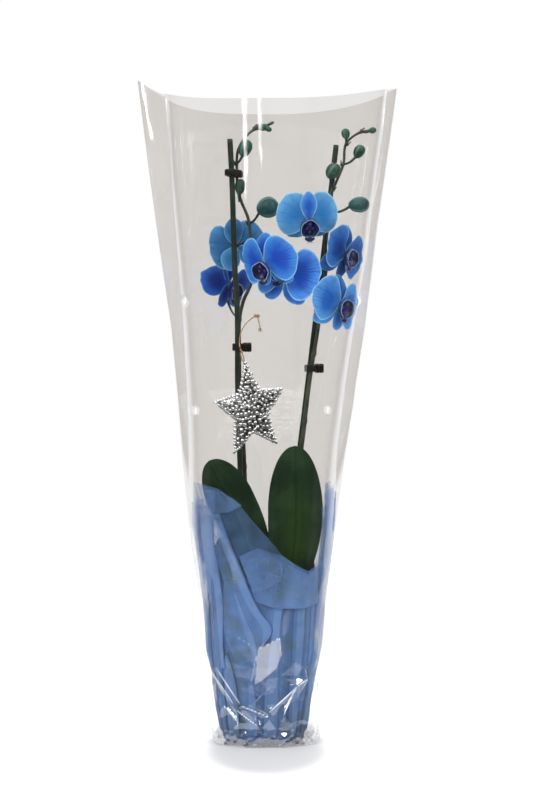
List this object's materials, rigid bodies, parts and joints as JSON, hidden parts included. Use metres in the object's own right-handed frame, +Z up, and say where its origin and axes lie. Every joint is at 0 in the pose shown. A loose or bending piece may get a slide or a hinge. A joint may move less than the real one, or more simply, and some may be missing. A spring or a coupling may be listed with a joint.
{
  "type": "moth orchid in wrapped pot",
  "caption": "Potted moth orchid with staked blue flower spikes, a gathered cloth wrap round the pot, a hanging bead star and a clear film sleeve that protects the flowers.",
  "frame": {"origin": "middle of the flat film floor that the pot stands on", "axes": "+Z up, -Y towards the viewer of the front, +X to the right as seen from the front; the sleeve is wide along X and flat along Y"},
  "size_m": [0.285, 0.144, 0.726],
  "materials": {
    "clear_film": "clear, glossy, lightly creased film",
    "blue_nonwoven": "matte translucent non-woven cloth with a fine grain",
    "pot_plastic": "satin moulded plastic",
    "bark": "rough bark chips",
    "root": "dull grey-green root skin",
    "leaf": "satin dark green leaf",
    "stake_plastic": "dark green satin plastic",
    "stem": "smooth green stem",
    "petal": "soft blue petal with darker veins and a pale rim",
    "lip": "dark navy, slightly waxy",
    "clip_plastic": "black moulded plastic",
    "silver_beads": "silver-plated glossy beads",
    "twine": "rough natural twine"
  },
  "bodies": {
    "root": {"film_sleeve": "clear_film", "nonwoven_wrap": "blue_nonwoven", "nursery_pot": "pot_plastic", "bark_mix": "bark", "plant_crown": "root", "leaf_front_right": "leaf", "leaf_front_left": "leaf", "leaf_back_right": "leaf", "leaf_back_left": "leaf", "stake_left": "stake_plastic", "stake_right": "stake_plastic", "spike_left": "stem", "spike_right": "stem", "bloom_right_top_petals": "petal", "bloom_right_top_lip": "lip", "bloom_right_middle_petals": "petal", "bloom_right_middle_lip": "lip", "bloom_right_low_petals": "petal", "bloom_right_low_lip": "lip", "bloom_left_front_petals": "petal", "bloom_left_front_lip": "lip", "bloom_left_back_petals": "petal", "bloom_left_back_lip": "lip", "bloom_left_right_petals": "petal", "bloom_left_right_lip": "lip", "bloom_left_low_petals": "petal", "bloom_left_low_lip": "lip", "clip_left_top": "clip_plastic", "clip_left_low": "clip_plastic", "clip_right_low": "clip_plastic", "bead_star": "silver_beads", "star_twine": "twine"}
  },
  "joints": []
}
